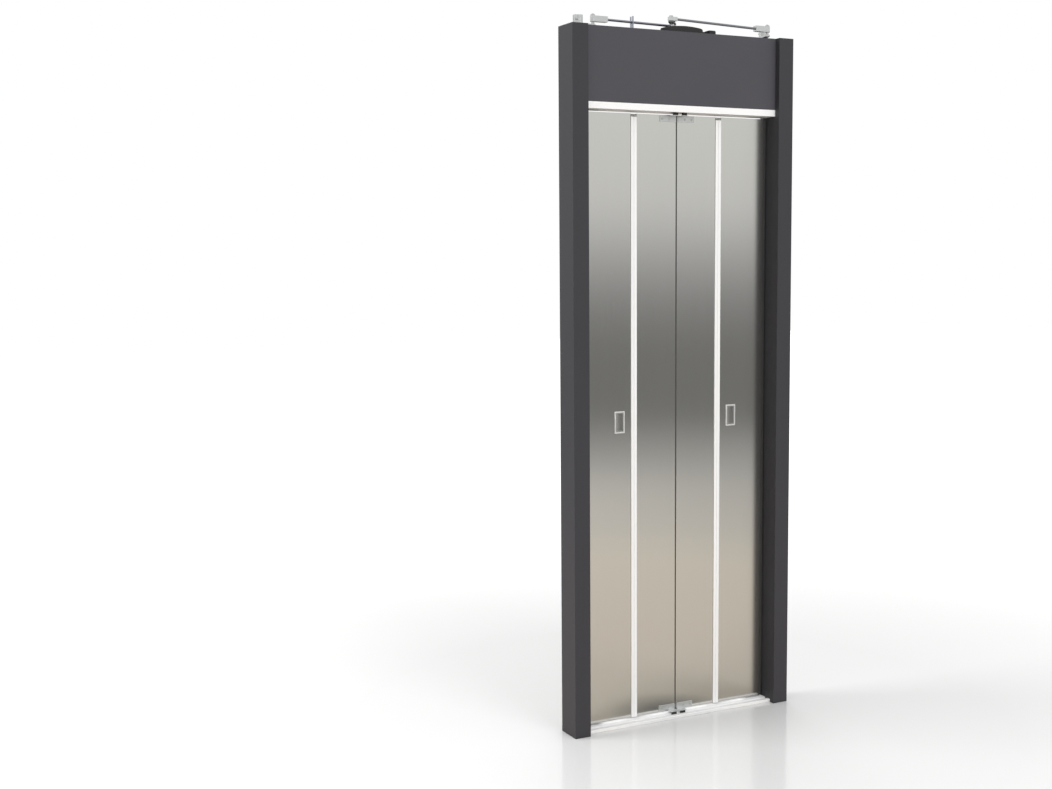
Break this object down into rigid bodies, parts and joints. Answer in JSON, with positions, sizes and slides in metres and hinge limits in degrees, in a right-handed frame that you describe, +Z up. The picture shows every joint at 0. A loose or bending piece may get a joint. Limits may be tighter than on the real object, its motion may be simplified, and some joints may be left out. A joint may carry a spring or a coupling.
{
  "type": "folding cabin door",
  "caption": "Closed folding door of hinged stainless leaves in a dark steel frame, with an open header box and a lever and rod drive on top.",
  "frame": {"origin": "on the floor, at the middle of the door's width and of its depth", "axes": "+Z up, +X to the right when seen from the landing, -Y towards the landing and +Y into the cabin"},
  "size_m": [0.836, 0.1004, 2.314],
  "materials": {
    "frame_paint": "dark grey powder coat, fine texture",
    "rail_aluminium": "natural anodised extrusion",
    "leaf_steel": "fine vertical brush",
    "hinge_aluminium": "natural anodised extrusion",
    "handle_steel": "satin pressing",
    "shaft_steel": "turned and bright",
    "zinc_plate": "bright zinc plate",
    "dark_bracket": "satin dark paint",
    "black_moulding": "fine moulded texture",
    "black_rubber": "matt",
    "motor_casing": "machined tube",
    "gearbox_casting": "die cast",
    "circuit_board": "green solder mask",
    "board_parts": "moulded terminal blocks and relays",
    "core_lacquer": "black lacquer on laminations",
    "winding_lacquer": "orange winding tape"
  },
  "bodies": {
    "root": {"board_blocks": "board_parts", "cable_grommets": "black_rubber", "conduit": "black_rubber", "conduit_clips": "zinc_plate", "control_board": "circuit_board", "crank_bar": "dark_bracket", "crank_shaft": "shaft_steel", "device_plate": "dark_bracket", "drive_belt": "black_rubber", "drive_cover": "black_moulding", "drive_levers": "zinc_plate", "drive_pins": "shaft_steel", "drive_pulleys": "black_moulding", "end_stop": "zinc_plate", "floor_pivots": "shaft_steel", "gearbox": "gearbox_casting", "guide_backing_plates": "zinc_plate", "guide_brackets": "zinc_plate", "guide_shoes": "black_moulding", "header_bottom_plate": "frame_paint", "header_front_panel": "frame_paint", "header_sides": "frame_paint", "header_top_plate": "frame_paint", "hinge_pins": "shaft_steel", "inner_hinge_profiles": "hinge_aluminium", "inner_rod_ends": "zinc_plate", "leaf_back_plates": "black_moulding", "left_inner_leaf": "leaf_steel", "left_jamb": "frame_paint", "left_outer_leaf": "leaf_steel", "left_pull_handle": "handle_steel", "meeting_seals": "black_rubber", "motor": "motor_casing", "motor_bracket": "dark_bracket", "motor_lead": "black_rubber", "outer_hinge_profiles": "hinge_aluminium", "outer_rod_ends": "zinc_plate", "pivot_brackets": "dark_bracket", "pivot_posts": "leaf_steel", "pivot_shafts": "shaft_steel", "pulley_cover": "black_moulding", "relay_stack": "black_moulding", "right_inner_leaf": "leaf_steel", "right_jamb": "frame_paint", "right_outer_leaf": "leaf_steel", "right_pull_handle": "handle_steel", "rod_post": "dark_bracket", "shaft_bearings": "black_moulding", "sill": "rail_aluminium", "tie_rods": "shaft_steel", "transformer_core": "core_lacquer", "transformer_winding": "winding_lacquer", "upper_track": "rail_aluminium"}
  },
  "joints": []
}
